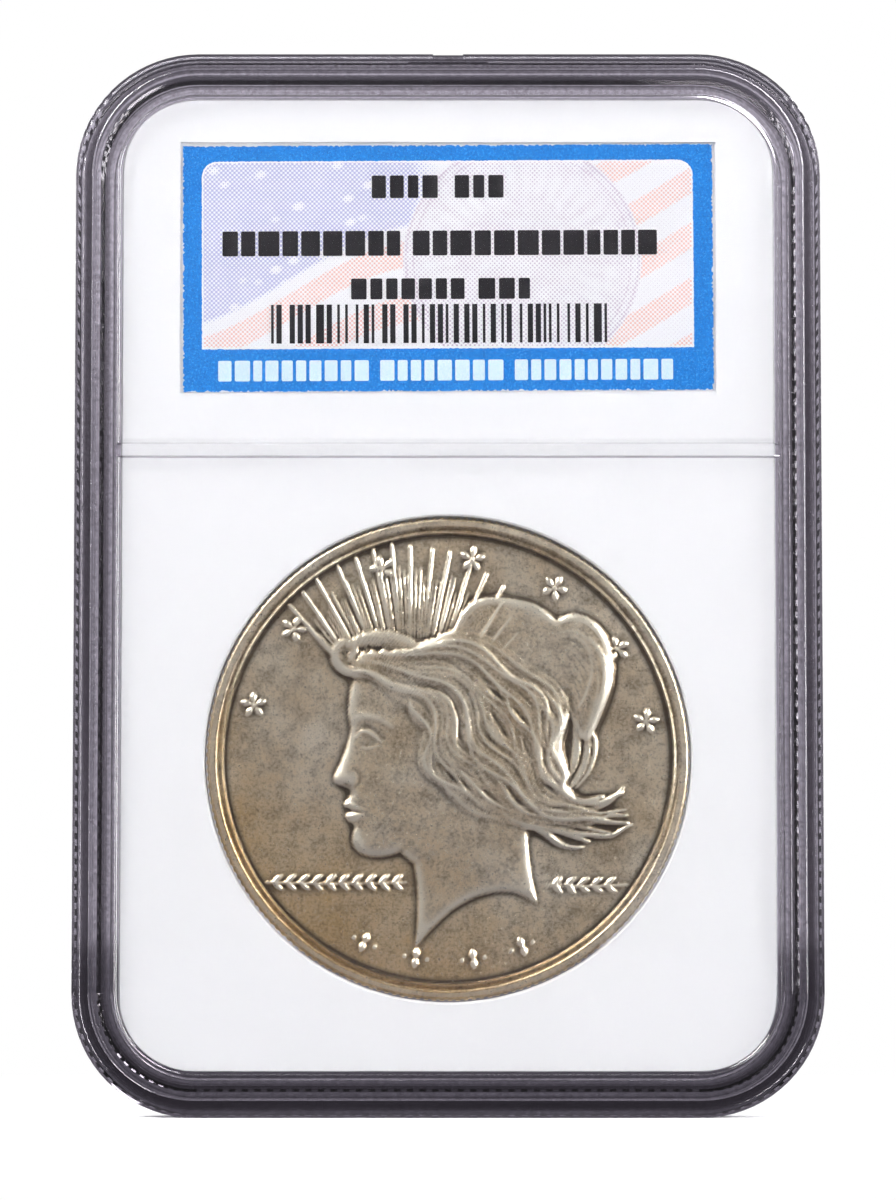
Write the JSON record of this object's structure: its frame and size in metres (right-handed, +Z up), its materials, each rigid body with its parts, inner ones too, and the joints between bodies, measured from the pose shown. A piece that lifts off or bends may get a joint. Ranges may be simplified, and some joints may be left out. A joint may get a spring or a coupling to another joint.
{
  "type": "graded coin slab",
  "caption": "Clear two-part coin holder, welded shut around a white core with a large silver coin and a printed label.",
  "frame": {"origin": "centre of the slab's footprint, on the surface under its bottom edge", "axes": "+Z up towards the label, +X to the right seen from the front, the front face looks along -Y"},
  "size_m": [0.059, 0.008, 0.0841],
  "materials": {
    "clear_plastic": "clear moulded polystyrene, polished panes, smoky in the thick rim, frosted at the weld",
    "white_plastic": "fine satin",
    "toned_silver": "struck silver with a soft lustre and warm brown and gold toning",
    "label_paper": "offset printed, blue border",
    "label_foil": "patterned metallised foil"
  },
  "bodies": {
    "root": {"front_shell": "clear_plastic", "rear_shell": "clear_plastic", "core_insert": "white_plastic", "coin": "toned_silver", "front_label": "label_paper", "rear_label": "label_foil"}
  },
  "joints": []
}
